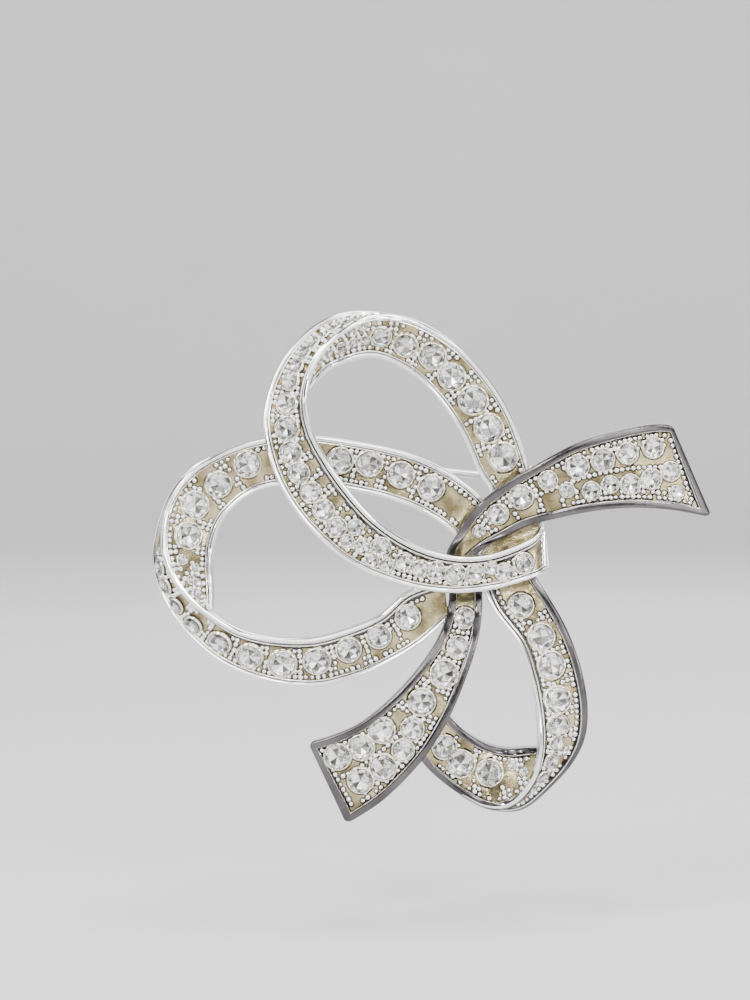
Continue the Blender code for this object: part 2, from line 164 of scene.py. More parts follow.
# painted shade: the grooves and the deep rail's inner wall get a near-black colour for the shade and dark
# reflections in these recesses
def shadedGroove(nodes):
    clouds = patch(nodes, 500.0)
    return {"Base Color": blendOf(nodes, clouds, plateLook["shadePale"], plateLook["shadeDeep"]),
            "Roughness": 0.16 + 0.14 * clouds}


# painted reflection: the seat rings' pale beige stands in for the warm surroundings they reflect, as on the
# channel floors; the mottling is random
def seatRing(nodes):
    clouds = patch(nodes, 700.0)
    return {"Base Color": blendOf(nodes, clouds, plateLook["seatPale"], plateLook["seatDeep"]),
            "Roughness": 0.06 + 0.10 * clouds}


# painted reflection, partly: the rims' dark grey stands in for the dark surroundings they reflect, and partly
# is their own duller finish; the brushing is in roughness and bumps
def brushedRim(nodes):
    clouds = patch(nodes, 240.0)
    fine = patch(nodes, 2200.0, 3.0)
    mottle = steep(nodes, clouds, 0.35, 0.65)
    return {"Base Color": blendOf(nodes, mottle, plateLook["rimPale"], plateLook["rimDeep"]),
            "Roughness": 0.08 + 0.12 * fine,
            "Normal": bumpOf(nodes, fine, 0.2, 0.00005)}


def castBack(nodes):
    clouds = patch(nodes, 300.0)
    pits = patch(nodes, 1200.0, 5.0)
    return {"Base Color": blendOf(nodes, clouds, plateLook["backPale"], plateLook["backDeep"]),
            "Roughness": 0.22 + 0.2 * pits,
            "Normal": bumpOf(nodes, pits, 0.5, 0.00015)}


def drawnWire(nodes):
    place = nodes.add("ShaderNodeTexCoord", output=3)
    drawn = nodes.add("ShaderNodeMapping", inputs={"Vector": place, "Scale": wireLook["drawnOut"]})
    lines = nodes.add("ShaderNodeTexNoise", inputs={"Vector": drawn, "Scale": 1.0, "Detail": 2.0})
    return {"Base Color": blendOf(nodes, lines, wireLook["pale"], wireLook["deep"]),
            "Roughness": 0.12 + 0.16 * lines,
            "Normal": bumpOf(nodes, lines, 0.12, 0.00005)}


def clearStone(nodes):
    clouds = patch(nodes, 500.0, 1.0)
    return {"Base Color": blendOf(nodes, clouds, stoneLook["lit"], stoneLook["tint"])}


# painted glints: each foiled facet is painted white or near-black, standing in for the lamps and the dark
# surroundings it would reflect
def stoneFoil(nodes):
    tone = nodes.add("ShaderNodeAttribute", {"attribute_name": "tone"}, output="Fac")
    glint = nodes.add("ShaderNodeAttribute", {"attribute_name": "glint"}, output="Fac")
    mixed = nodes.add("ShaderNodeMath", {"operation": "FRACT"}, {0: tone * 7.31 + glint * 5.17})
    share = steep(nodes, mixed, 0.64, 0.84)
    return {"Base Color": blendOf(nodes, share, stoneLook["lit"], stoneLook["paintedDarkFacet"])}


plate = finish("polishedPlate", polishedPlate, Metallic=1.0)
floorPlate = finish("channelFloor", channelFloor, Metallic=1.0)
backPlate = finish("castBack", castBack, Metallic=1.0)
paintedShadePlate = finish("shadedGroove", shadedGroove, Metallic=1.0)
seatPlate = finish("seatRing", seatRing, Metallic=1.0)
rimPlate = finish("brushedRim", brushedRim, Metallic=1.0)
wire = finish("drawnWire", drawnWire, Metallic=1.0)
crystal = finish("clearStone", clearStone, Roughness=0.0, IOR=1.56, Transmission_Weight=1.0)
foil = finish("stoneFoil", stoneFoil, Metallic=0.75, Roughness=0.07)
print("finishes made")


# the bow: ribbon bands between two edges, each station (x, z, rise) in millimetres on the face

# a band narrower than fullWidth gets lower walls; backLip and backHollow shape its underside
bow = {"pinMid": (0.6, 0.5), "backGap": 2.0, "depth": 1.5, "perStation": 9, "endRound": 0.75,
       "floorDrop": 0.45, "floorParts": 6, "fullWidth": 2.4, "backLip": 0.7, "backHollow": 0.28}

# across a border: distance in from the edge, drop below its crest, and the finish from there on; shade strips
# get the painted shade of the grooves and the deep rail's inner wall
borders = {
    "rail": [(0.0, 0.40, "plate"), (0.02, 0.24, "plate"), (0.07, 0.11, "plate"), (0.15, 0.03, "plate"),
             (0.26, 0.0, "plate"), (0.37, 0.03, "plate"), (0.45, 0.11, "plate"), (0.50, 0.22, "shade"),
             (0.54, 0.30, "shade"), (0.59, 0.28, "plate"), (0.62, 0.21, "plate"), (0.67, 0.19, "plate"),
             (0.72, 0.22, "plate"), (0.75, 0.32, "floor"), (0.78, 0.45, "floor")],
    "deepRail": [(0.0, 0.40, "plate"), (0.02, 0.24, "plate"), (0.07, 0.11, "plate"), (0.16, 0.03, "plate"),
                 (0.29, 0.0, "plate"), (0.42, 0.03, "plate"), (0.51, 0.11, "plate"), (0.56, 0.24, "shade"),
                 (0.60, 0.34, "shade"), (0.68, 0.34, "shade"), (0.72, 0.24, "plate"), (0.77, 0.20, "plate"),
                 (0.83, 0.21, "plate"), (0.88, 0.28, "shade"), (1.02, 0.40, "shade"), (1.14, 0.46, "floor")],
    "rim": [(0.0, 0.34, "rim"), (0.03, 0.17, "rim"), (0.09, 0.06, "rim"), (0.16, 0.01, "rim"),
            (0.30, 0.0, "rim"), (0.55, 0.0, "rim"), (0.74, 0.0, "rim"), (0.82, 0.03, "plate"),
            (0.87, 0.10, "shade"), (0.91, 0.24, "shade"), (0.95, 0.45, "floor")],
}

bands = {
    "upperFront": [
        ((-0.6, 17.0, 4.3), (-0.4, 16.5, 5.4)), ((-3.5, 17.5, 2.4), (-2.9, 16.9, 6.1)),
        ((-7.2, 17.35, 2.7), (-5.9, 15.9, 6.9)), ((-10.5, 15.65, 3.1), (-8.2, 14.1, 7.2)),
        ((-13.3, 12.5, 3.9), (-10.0, 11.5, 7.4)), ((-15.0, 8.5, 5.0), (-10.7, 8.3, 7.5)),
        ((-15.3, 4.8, 6.2), (-10.1, 4.9, 7.5)), ((-13.9, -0.3, 7.0), (-8.6, 2.0, 7.5)),
        ((-10.9, -5.0, 7.4), (-6.3, -1.3, 7.6)), ((-6.3, -9.1, 7.7), (-3.4, -4.5, 7.7)),
        ((-0.8, -11.5, 7.9), (0.5, -7.1, 7.9)), ((4.5, -12.4, 8.0), (4.7, -8.4, 8.0)),
        ((9.2, -12.0, 8.0), (8.7, -8.3, 8.0)), ((13.2, -10.9, 7.6), (12.9, -6.8, 7.6)),
        ((14.6, -10.4, 6.6), (14.4, -5.7, 6.6)), ((15.0, -10.2, 4.6), (14.9, -5.4, 4.6))],
    "upperBack": [
        ((-10.7, 9.2, 7.3), (-10.1, 9.3, 6.6)), ((-9.5, 12.5, 7.0), (-8.3, 11.1, 4.6)),
        ((-7.3, 14.9, 6.6), (-6.3, 12.0, 3.8)), ((-3.7, 16.8, 6.0), (-3.7, 12.5, 3.4)),
        ((0.5, 16.5, 5.4), (-1.2, 11.7, 3.5)), ((4.8, 14.2, 5.0), (1.5, 9.9, 3.7)),
        ((8.2, 10.9, 4.6), (4.0, 7.1, 3.9)), ((10.9, 6.9, 4.3), (6.0, 3.9, 4.0)),
        ((12.7, 2.4, 4.0), (7.5, 0.5, 4.0)), ((13.9, -1.9, 3.8), (9.1, -2.2, 3.8)),
        ((14.9, -5.9, 4.2), (9.0, -5.6, 3.8)), ((15.3, -9.9, 4.6), (7.0, -9.2, 3.7))],
    "leftBack": [
        ((-21.8, -14.3, 6.8), (-20.6, -14.1, 6.2)), ((-23.9, -12.2, 6.7), (-20.6, -12.5, 4.6)),
        ((-25.5, -9.6, 6.4), (-20.8, -9.7, 3.8)), ((-26.1, -6.5, 5.9), (-20.6, -7.3, 3.6)),
        ((-25.5, -3.1, 5.3), (-19.8, -5.1, 3.5)), ((-23.6, -0.2, 4.8), (-18.5, -3.5, 3.4)),
        ((-20.4, 2.1, 4.3), (-16.8, -2.2, 3.3)), ((-16.0, 3.7, 3.8), (-14.7, -1.4, 3.2)),
        ((-10.9, 4.2, 3.5), (-10.9, -1.1, 3.2)), ((-5.2, 3.5, 3.4), (-6.1, -1.7, 3.4)),
        ((0.1, 2.3, 3.5), (-1.5, -2.8, 3.5)), ((4.4, 0.4, 3.5), (2.3, -4.4, 3.5)),
        ((8.3, -2.6, 3.2), (5.2, -6.6, 3.2)), ((10.6, -6.0, 2.6), (7.3, -9.4, 2.6)),
        ((12.3, -8.4, 2.3), (9.0, -11.6, 2.3))],
    "leftFront": [
        ((-20.3, 2.3, 3.6), (-20.2, 2.1, 4.2)), ((-23.3, 0.7, 3.3), (-23.1, 0.3, 4.8)),
        ((-25.5, -2.0, 2.7), (-25.1, -2.2, 5.3)), ((-26.8, -5.2, 2.3), (-26.0, -5.2, 5.8)),
        ((-27.4, -8.3, 2.3), (-25.9, -8.2, 6.3)), ((-27.0, -11.7, 2.6), (-24.7, -11.1, 6.7)),
        ((-25.5, -14.9, 3.0), (-22.9, -13.3, 6.9)), ((-23.0, -17.9, 3.4), (-20.7, -15.0, 6.8)),
        ((-19.6, -20.5, 3.9), (-17.9, -16.6, 6.5)), ((-14.9, -22.3, 4.2), (-14.4, -17.4, 6.0)),
        ((-9.7, -22.8, 4.2), (-10.2, -17.5, 5.4)), ((-4.8, -21.6, 4.0), (-6.3, -16.5, 4.9)),
        ((-0.5, -19.5, 3.9), (-2.9, -15.0, 4.4)), ((1.9, -17.9, 3.9), (0.1, -12.5, 4.1)),
        ((4.6, -15.4, 3.6), (4.0, -11.2, 3.6))],
    "lowerFront": [
        ((12.8, -9.4, 4.0), (7.6, -11.0, 4.0)), ((15.0, -12.7, 4.5), (9.2, -14.6, 4.6)),
        ((17.2, -16.5, 4.6), (11.8, -18.0, 5.1)), ((18.7, -20.5, 4.5), (13.1, -21.7, 5.6)),
        ((19.5, -24.7, 4.2), (13.8, -25.1, 6.0)), ((19.3, -28.2, 3.7), (14.1, -28.0, 6.2)),
        ((18.0, -31.1, 3.2), (14.0, -30.4, 6.3)), ((15.9, -33.6, 2.7), (13.5, -32.5, 6.1)),
        ((13.2, -36.0, 2.4), (12.1, -34.6, 5.5)), ((10.9, -36.6, 2.2), (10.3, -35.7, 4.7)),
        ((8.3, -36.1, 2.4), (8.2, -35.6, 4.0)), ((5.9, -34.8, 2.6), (6.0, -34.5, 3.4))],
    "lowerBack": [
        ((14.2, -30.0, 6.0), (13.9, -29.1, 5.2)), ((13.6, -32.7, 5.8), (12.7, -29.3, 3.8)),
        ((11.9, -35.0, 5.0), (11.0, -29.5, 3.0)), ((9.3, -36.1, 4.0), (8.8, -29.1, 2.8)),
        ((5.9, -34.6, 3.3), (6.7, -28.0, 2.8)), ((2.8, -32.2, 3.2), (5.0, -26.4, 3.0)),
        ((0.6, -29.4, 4.2), (3.9, -24.6, 4.2))],
    "rightTail": [
        ((4.9, -10.6, 3.4), (7.9, -10.6, 3.4)), ((4.2, -8.7, 4.2), (6.9, -9.4, 4.0)),
        ((5.3, -6.4, 5.0), (8.3, -7.9, 4.8)), ((7.1, -3.6, 6.2), (10.4, -6.7, 5.6)),
        ((9.8, -1.2, 7.0), (12.8, -5.4, 6.7)), ((13.5, 1.1, 7.4), (15.7, -4.6, 7.3)),
        ((17.8, 3.4, 7.4), (19.5, -3.8, 7.5)), ((22.3, 4.8, 7.0), (23.5, -3.4, 7.5)),
        ((26.0, 5.5, 6.5), (28.0, -3.6, 7.3)), ((28.2, 5.4, 6.1), (32.4, -4.4, 6.9))],
    "leftTail": [
        ((4.6, -11.0, 3.4), (8.1, -11.0, 3.4)), ((4.4, -14.0, 4.6), (8.1, -14.0, 4.6)),
        ((3.6, -16.8, 4.8), (7.7, -17.4, 4.8)), ((1.8, -19.8, 5.3), (6.5, -21.3, 5.3)),
        ((-1.1, -23.2, 5.7), (4.6, -25.8, 5.7)), ((-4.6, -26.2, 5.9), (1.8, -30.3, 5.9)),
        ((-7.6, -27.7, 5.7), (-2.3, -34.6, 5.7)), ((-10.6, -28.7, 5.2), (-6.5, -37.5, 5.2))],
}

# lean draws the back of a steep band in under its face, and a tail's cut end carries the rim across
ribbons = {
    "upperFront": {"lean": 0.35, "edges": ("rail", "deepRail"), "cutEnd": True, "node": "upper_loop"},
    "upperBack": {"lean": 0.0, "edges": ("rail", "rail"), "cutEnd": False, "node": "upper_loop"},
    "leftBack": {"lean": 0.0, "edges": ("rail", "rail"), "cutEnd": False, "node": "left_loop"},
    "leftFront": {"lean": 0.35, "edges": ("rail", "deepRail"), "cutEnd": False, "node": "left_loop"},
    "lowerFront": {"lean": 0.35, "edges": ("rim", "deepRail"), "cutEnd": False, "node": "lower_loop"},
    "lowerBack": {"lean": 0.0, "edges": ("rim", "rim"), "cutEnd": False, "node": "lower_loop"},
    "rightTail": {"lean": 0.0, "edges": ("rim", "rim"), "cutEnd": True, "node": "right_tail"},
    "leftTail": {"lean": 0.0, "edges": ("rim", "rim"), "cutEnd": True, "node": "left_tail"},
}
bandFinishes = {"plate": plate, "floor": floorPlate, "back": backPlate,
                "shade": paintedShadePlate, "rim": rimPlate}


def onFace(x, z, rise):
    return Vector((x - bow["pinMid"][0], -(rise + bow["backGap"]), z - bow["pinMid"][1])) * mm


# a smooth curve through the points, one unit of u from each to the next
def through(points, u):
    last = len(points) - 1
    i = min(int(u), last - 1)
    f = u - i
    p1, p2 = points[i], points[i + 1]
    p0 = points[i - 1] if i > 0 else 2 * p1 - p2
    p3 = points[i + 2] if i + 2 <= last else 2 * p2 - p1
    return 0.5 * (2 * p1 + (p2 - p0) * f + (2 * p0 - 5 * p1 + 4 * p2 - p3) * f ** 2
                  + (3 * p1 - p0 - 3 * p2 + p3) * f ** 3)


class Band:
    def __init__(self, name):
        self.first = [onFace(*a) for a, b in bands[name]]
        self.second = [onFace(*b) for a, b in bands[name]]
        self.last = len(self.first) - 1
        self.side = 1.0
        if self.at(self.last * 0.6)[3].y > 0:
            self.side = -1.0

    # both edge points, the way along and the normal out of the face
    def at(self, u):
        a, b = through(self.first, u), through(self.second, u)
        lo, hi = max(u - 0.05, 0.0), min(u + 0.05, self.last)
        along = (through(self.first, hi) + through(self.second, hi)
                 - through(self.first, lo) - through(self.second, lo))
        normal = along.cross(b - a).normalized() * self.side
        return a, b, along.normalized(), normal

    # the nearest place to a point on the face: how far along and what share of the way across
    def find(self, x, z):
        target = onFace(x, z, 0)
        best = (1.0, 0, 0)
        for k in range(self.last * 24 + 1):
            u = k / 24
            a, b = through(self.first, u), through(self.second, u)
            across = b - a
            flat = across.x ** 2 + across.z ** 2
            share = ((target.x - a.x) * across.x + (target.z - a.z) * across.z) / flat
            share = min(max(share, 0.05), 0.95)
            p = a.lerp(b, share)
            away = (p.x - target.x) ** 2 + (p.z - target.z) ** 2
            if away < best[0]:
                best = (away, u, share)
        return best[1], best[2]


# how far a border lies below its crest, at a distance in from the edge
def dropAt(profile, reach):
    for (d0, h0, _), (d1, h1, _) in zip(profile, profile[1:]):
        if reach <= d1:
            return h0 + (h1 - h0) * (reach - d0) / (d1 - d0)
    return profile[-1][1]


# rings joined into a tube and capped at both ends
def solidFrom(name, rings, faceFinish, sharp=48.0):
    shape = bmesh.new()
    rows = [[shape.verts.new(p) for p in ring] for ring in rings]
    count = len(rings[0])
    for i in range(len(rows) - 1):
        for k in range(count):
            n = (k + 1) % count
            face = shape.faces.new((rows[i][k], rows[i][n], rows[i + 1][n], rows[i + 1][k]))
            face.material_index = faceFinish(i, k)
    shape.faces.new(rows[0][::-1])
    shape.faces.new(rows[-1])
    bmesh.ops.recalc_face_normals(shape, faces=shape.faces)
    return meshPiece(name, shape, sharp)


def meshPiece(name, shape, sharp):
    mesh = bpy.data.meshes.new(name)
    shape.to_mesh(mesh)
    shape.free()
    for face in mesh.polygons:
        face.use_smooth = True
    mesh.set_sharp_from_angle(angle=math.radians(sharp))
    piece = bpy.data.objects.new(name, mesh)
    bpy.context.collection.objects.link(piece)
    return piece


def wear(piece, body, slot, *finishes):
    for item in finishes:
        piece.data.materials.append(item)
    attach(piece, body)
    return piece


def ribbonPiece(name, lean, edges, cutEnd, node):
    band = Band(name)
    left, right = borders[edges[0]], borders[edges[1]]
    steps = band.last * bow["perStation"]
    places = [i * band.last / steps for i in range(steps + 1)]
    pace = 1.0
    if cutEnd:
        step = 0.01
        (a0, b0), (a1, b1) = band.at(band.last - step)[:2], band.at(band.last)[:2]
        pace = ((a1 + b1) / 2 - (a0 + b0) / 2).length / step / mm
        rim = [band.last - entry[0] / pace for entry in left]
        places = [u for u in places if u < rim[-1] - 0.02] + rim[::-1]
    rings = []
    for u in places:
        a, b, along, normal = band.at(u)
        toEnd = (band.last - u) * pace if cutEnd else 99.0
        width = (b - a).length
        across = (b - a) / width
        curl = max(bow["endRound"] - toEnd, 0.0)
        inset = (bow["endRound"] - math.sqrt(max(bow["endRound"] ** 2 - curl ** 2, 0.0))) * mm
        a, b, width = a + across * inset, b - across * inset, width - 2 * inset
        span = width / mm
        thin = min(1.0, span / bow["fullWidth"])
        fitLeft, fitRight = (min(1.0, 0.42 * span / side[-1][0]) for side in (left, right))
        stations = [(entry[0] * fitLeft, entry[1]) for entry in left]
        near, far = stations[-1][0], span - right[-1][0] * fitRight
        stations += [(near + (far - near) * k / bow["floorParts"], bow["floorDrop"])
                     for k in range(1, bow["floorParts"])]
        stations += [(span - entry[0] * fitRight, entry[1]) for entry in right[::-1]]
        ring = []
        for s, drop in stations:
            if cutEnd:
                fromRight = (span - s) / fitRight
                nearest = min(s / fitLeft, fromRight, toEnd)
                drop = dropAt(right if fromRight == nearest else left, nearest)
            ring.append(a + across * s * mm - normal * drop * mm * thin)
        down = Vector((-normal.x * lean, 1.0, -normal.z * lean)) * bow["depth"] * mm
        lip, hollow = min(bow["backLip"] * mm, width * 0.2), bow["backHollow"] * mm * thin
        low, up = across * lip, Vector((0, -1, 0)) * hollow
        tuck = across * min(0.08 * mm, width * 0.05)
        ring += [b + down * 0.93, b + down - tuck, b + down - low, b + down - low * 1.15 + up,
                 a + down + low * 1.15 + up, a + down + low, a + down + tuck, a + down * 0.93]
        rings.append(ring)
    order = list(bandFinishes)
    floorCount = bow["floorParts"] - 1
    named = [entry[2] for entry in left] + ["floor"] * floorCount + [entry[2] for entry in right[-2::-1]]
    named += ["plate"] * 2 + ["back"] * 5 + ["plate"] * 2
    face = [order.index(item) for item in named]
    reach = [entry[0] for entry in left] + [9.0] * floorCount + [entry[0] for entry in right[-2::-1]]
    reach += [0.0] * 9
    ending = left[-2::-1]

    def faceFinish(i, k):
        last = i - (len(places) - 1 - len(ending))
        if cutEnd and last >= 0 and reach[k] > ending[last][0]:
            return order.index(ending[last][2])
        return face[k]

    piece = wear(solidFrom(name + "Ribbon", rings, faceFinish), "bow", "plated_metal", *bandFinishes.values())
    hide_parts(node)
    return band


built = {name: ribbonPiece(name, **how) for name, how in ribbons.items()}
print("ribbons lofted")


# stones, collars and grains: one template each, set on points by a node tree

# a stone (x, z, width) in millimetres on the face
stones = {
    "upperBack": [
        (-2.7, 14.6, 2.1), (-0.1, 13.7, 2.4), (2.7, 12.6, 2.7), (4.8, 10.4, 2.7), (7.1, 7.9, 2.9),
        (8.8, 4.9, 2.9), (10.3, 1.8, 2.9), (-4.6, 15.6, 1.1), (-5.7, 15.0, 1.0), (-7.1, 14.3, 1.0),
        (-5.6, 13.9, 1.0), (-6.8, 13.2, 1.0), (-4.4, 14.2, 1.0), (-8.1, 12.8, 0.9), (-9.0, 11.9, 0.8)],
    "upperFront": [
        (-6.2, 16.7, 1.1), (-7.7, 16.2, 1.1), (-8.9, 15.4, 1.2), (-10.1, 14.4, 1.3), (-11.1, 13.2, 1.4),
        (-11.9, 11.8, 1.6), (-12.5, 10.1, 1.9), (-12.9, 7.6, 2.2), (-12.8, 5.0, 2.4), (-12.4, 2.5, 2.2),
        (-11.5, 0.3, 2.1), (-10.2, -1.7, 2.1), (-8.9, -3.6, 2.1), (-7.5, -5.4, 2.0), (-5.4, -5.5, 1.6),
        (-6.3, -7.0, 1.4), (-4.8, -7.4, 1.6), (-2.7, -7.6, 2.0), (-3.6, -9.0, 1.4), (-2.0, -9.5, 1.5),
        (-0.4, -9.1, 1.9), (1.4, -9.8, 1.7), (3.0, -10.1, 1.9), (5.1, -10.5, 2.1), (7.2, -10.3, 1.9),
        (8.9, -9.7, 1.4), (10.3, -10.2, 1.8), (12.4, -9.2, 2.0)],
    "leftBack": [
        (2.6, -1.4, 2.6), (-0.7, 0.0, 2.6), (-4.1, 1.2, 2.6), (-7.1, 1.5, 2.6), (-17.0, 1.1, 2.7),
        (-20.1, -1.1, 2.6), (-22.6, -3.3, 2.8), (-23.2, -6.4, 2.7), (-23.8, -9.0, 1.1),
        (-22.4, -9.9, 1.0), (-24.0, -11.0, 1.0), (-22.2, -11.4, 1.0), (-23.1, -12.4, 1.0),
        (-21.9, -12.8, 0.9), (-22.1, -13.6, 0.8)],
    "leftFront": [
        (-27.1, -8.0, 1.7), (-26.7, -10.1, 1.7), (-26.1, -12.0, 1.7), (-24.9, -14.2, 1.8),
        (-23.0, -16.3, 2.0), (-20.2, -18.1, 2.4), (-16.8, -19.5, 2.6), (-13.3, -20.3, 2.8),
        (-9.6, -20.0, 2.7), (-6.2, -18.8, 2.5), (-3.0, -17.4, 2.4), (0.1, -15.3, 2.5)],
    "rightTail": [
        (26.1, 3.0, 2.1), (23.4, 2.4, 2.1), (20.7, 1.7, 2.3), (18.0, 1.0, 2.3), (14.8, -0.5, 1.9),
        (12.0, -2.3, 2.4), (9.6, -4.2, 2.1), (16.9, -1.5, 1.5), (19.5, -1.6, 1.8), (21.6, -0.9, 1.7),
        (23.6, -0.9, 2.0), (25.9, -0.3, 2.0), (28.0, 0.5, 1.9), (28.6, -1.8, 1.5), (7.6, -6.1, 1.3)],
    "leftTail": [
        (6.2, -15.3, 2.3), (5.5, -18.4, 2.5), (4.0, -21.2, 2.8), (1.6, -24.2, 2.7), (0.6, -27.1, 2.3),
        (-2.7, -27.3, 2.6), (-0.4, -29.4, 2.2), (-4.9, -29.1, 2.6), (-7.4, -30.1, 2.7),
        (-2.6, -31.3, 2.7), (-5.0, -32.7, 2.6)],
    "lowerFront": [
        (12.2, -13.9, 2.5), (14.4, -17.3, 2.7), (15.5, -20.4, 2.8), (16.2, -24.0, 2.8),
        (16.3, -26.8, 2.3), (16.2, -28.8, 1.6), (15.7, -30.7, 1.6), (14.8, -32.6, 1.4),
        (13.6, -34.0, 1.2)],
    "lowerBack": [
        (4.1, -29.4, 2.5), (5.9, -31.2, 2.8), (8.9, -32.1, 2.7), (11.2, -31.3, 0.9), (12.3, -31.8, 0.9)],
}

setting = {"girdleUp": 0.40, "collarUp": 0.32, "fullStone": 1.8, "grainSize": 0.92,
           "clearOf": {"rail": 0.72, "deepRail": 0.84, "rim": 0.86},
           "grain": (0.46, 0.66), "rowPitch": 0.60, "offBorder": 0.26, "clusterGap": 4.6,
           "cluster": [(0.0, 0.0), (-0.56, 0.02), (0.56, 0.02), (0.0, 0.58), (-0.5, 0.62), (0.1, 1.15)]}
# golden also spreads the painted facet glints, white or dark, from face to face
golden = 0.618  # a step that keeps neighbours' sizes and tones apart

# beads in a row beside a border or down the middle, between two places along the band, or across a cut end
beadRows = {
    "upperBack": [("left", 0.6, 2.6), ("right", 1.0, 3.0), ("left", 7.8, 9.2), ("right", 8.4, 9.4)],
    "upperFront": [("left", 1.2, 5.2), ("right", 1.4, 3.6), ("left", 8.4, 10.6), ("end", 0.0, 1.0)],
    "leftBack": [("left", 1.2, 5.0), ("right", 0.8, 2.6), ("left", 6.8, 7.4), ("right", 7.0, 9.4),
                 ("left", 10.5, 12.2), ("right", 10.3, 11.9)],
    "leftFront": [("left", 6.6, 12.4), ("right", 11.4, 13.4)],
    "rightTail": [("end", 0.0, 1.0), ("right", 6.2, 8.6), ("left", 7.4, 8.6), ("middle", 4.4, 8.5)],
    "leftTail": [("end", 0.0, 1.0), ("right", 4.2, 6.6), ("left", 4.4, 6.6), ("middle", 4.2, 6.6)],
    "lowerFront": [("right", 0.4, 4.2), ("left", 2.2, 8.6)],
    "lowerBack": [("left", 1.4, 5.0), ("right", 1.2, 2.6)],
}


# a chaton of unit width: table, stars, kites and halves above the girdle, broad foiled facets below
def cutStone():
    shape = bmesh.new()

    def ring(count, radius, height, turn=0.0):
        return [shape.verts.new((radius * math.cos(math.tau * (k + turn) / count),
                                 radius * math.sin(math.tau * (k + turn) / count), height))
                for k in range(count)]

    table = ring(8, 0.28, 0.165, 0.5)
    crown = ring(8, 0.395, 0.105)
    girdle = ring(16, 0.5, 0.0)
    below = ring(8, 0.33, -0.05, 0.5)
    culet = shape.verts.new((0, 0, -0.15))
    shape.faces.new(table)
    for k in range(8):
        n, edge = (k + 1) % 8, 2 * k
        shape.faces.new((table[k - 1], crown[k], table[k]))
        shape.faces.new((table[k], crown[k], girdle[edge + 1], crown[n]))
        shape.faces.new((crown[k], girdle[edge], girdle[edge + 1]))
        shape.faces.new((crown[n], girdle[edge + 1], girdle[(edge + 2) % 16]))
        foiled = [shape.faces.new((below[k], girdle[edge + 1], girdle[edge])),
                  shape.faces.new((below[k], girdle[(edge + 2) % 16], girdle[edge + 1])),
                  shape.faces.new((below[k - 1], below[k], girdle[edge])),
                  shape.faces.new((culet, below[k], below[k - 1]))]
        for face in foiled:
            face.material_index = 1
    bmesh.ops.recalc_face_normals(shape, faces=shape.faces)
    return template("cutStone", shape, False)


# a lathed ring or dome of unit width; the first shadedTo rows are a skirt at its foot, given painted shade as
# a dark outline
def turned(name, profile, sides, closed, shadedTo):
    shape = bmesh.new()
    rows = [[shape.verts.new((radius * math.cos(math.tau * k / sides),
                              radius * math.sin(math.tau * k / sides), height))
             for k in range(sides)] for radius, height in profile]
    pairs = list(zip(rows, rows[1:])) + ([(rows[-1], rows[0])] if closed else [])
    for i, (low, high) in enumerate(pairs):
        for k in range(sides):
            face = shape.faces.new((low[k], low[(k + 1) % sides], high[(k + 1) % sides], high[k]))
            face.material_index = 1 if i < shadedTo else 0
    if not closed:
        shape.faces.new(rows[0][::-1])
        shape.faces.new(rows[-1])
    bmesh.ops.recalc_face_normals(shape, faces=shape.faces)
    return template(name, shape, True)


def template(name, shape, smooth):
    mesh = bpy.data.meshes.new(name)
    shape.to_mesh(mesh)
    shape.free()
    foiled = mesh.attributes.new("foiled", "BOOLEAN", "FACE")
    foiled.data.foreach_set("value", [face.material_index == 1 for face in mesh.polygons])
    # tone per face picks, with the stone's glint, whether its foil is painted as a bright glint or dark
    tone = mesh.attributes.new("tone", "FLOAT", "FACE")
    tone.data.foreach_set("value", [face.index * golden % 1.0 for face in mesh.polygons])
    for face in mesh.polygons:
        face.use_smooth = smooth
    made = bpy.data.objects.new(name, mesh)
    bpy.context.collection.objects.link(made)
    return made


def setterTree():
    tree = bpy.data.node_groups.new("setOnPoints", "GeometryNodeTree")
    for label, kind in (("Geometry", "NodeSocketGeometry"), ("Template", "NodeSocketObject"),
                        ("Size", "NodeSocketFloat"), ("Finish", "NodeSocketMaterial"),
                        ("Underside", "NodeSocketMaterial")):
        tree.interface.new_socket(label, in_out="INPUT", socket_type=kind)
    tree.interface.new_socket("Geometry", in_out="OUTPUT", socket_type="NodeSocketGeometry")
    nodes = Nodes(tree)
    asked = tree.nodes.new("NodeGroupInput")
    given = {item.name: Socket(nodes, item) for item in asked.outputs if item.name}

    def stored(name, kind):
        return nodes.add("GeometryNodeInputNamedAttribute", {"data_type": kind}, {"Name": name})

    turn = nodes.add("FunctionNodeAxesToRotation", {"primary_axis": "Z", "secondary_axis": "X"},
                     {"Primary Axis": stored("facing", "FLOAT_VECTOR"),
                      "Secondary Axis": stored("ahead", "FLOAT_VECTOR")})
    shape = nodes.add("GeometryNodeObjectInfo", inputs={"Object": given["Template"]}, output="Geometry")
    size = stored("width", "FLOAT") * given["Size"]
    placed = nodes.add("GeometryNodeInstanceOnPoints", inputs={
        "Points": given["Geometry"], "Instance": shape, "Rotation": turn, "Scale": size})
    real = nodes.add("GeometryNodeRealizeInstances", inputs={"Geometry": placed})
    faced = nodes.add("GeometryNodeSetMaterial", inputs={"Geometry": real, "Material": given["Finish"]})
    backed = nodes.add("GeometryNodeSetMaterial", inputs={
        "Geometry": faced, "Selection": stored("foiled", "BOOLEAN"), "Material": given["Underside"]})
    result = tree.nodes.new("NodeGroupOutput")
    nodes.feed(result.inputs["Geometry"], backed)
    return tree


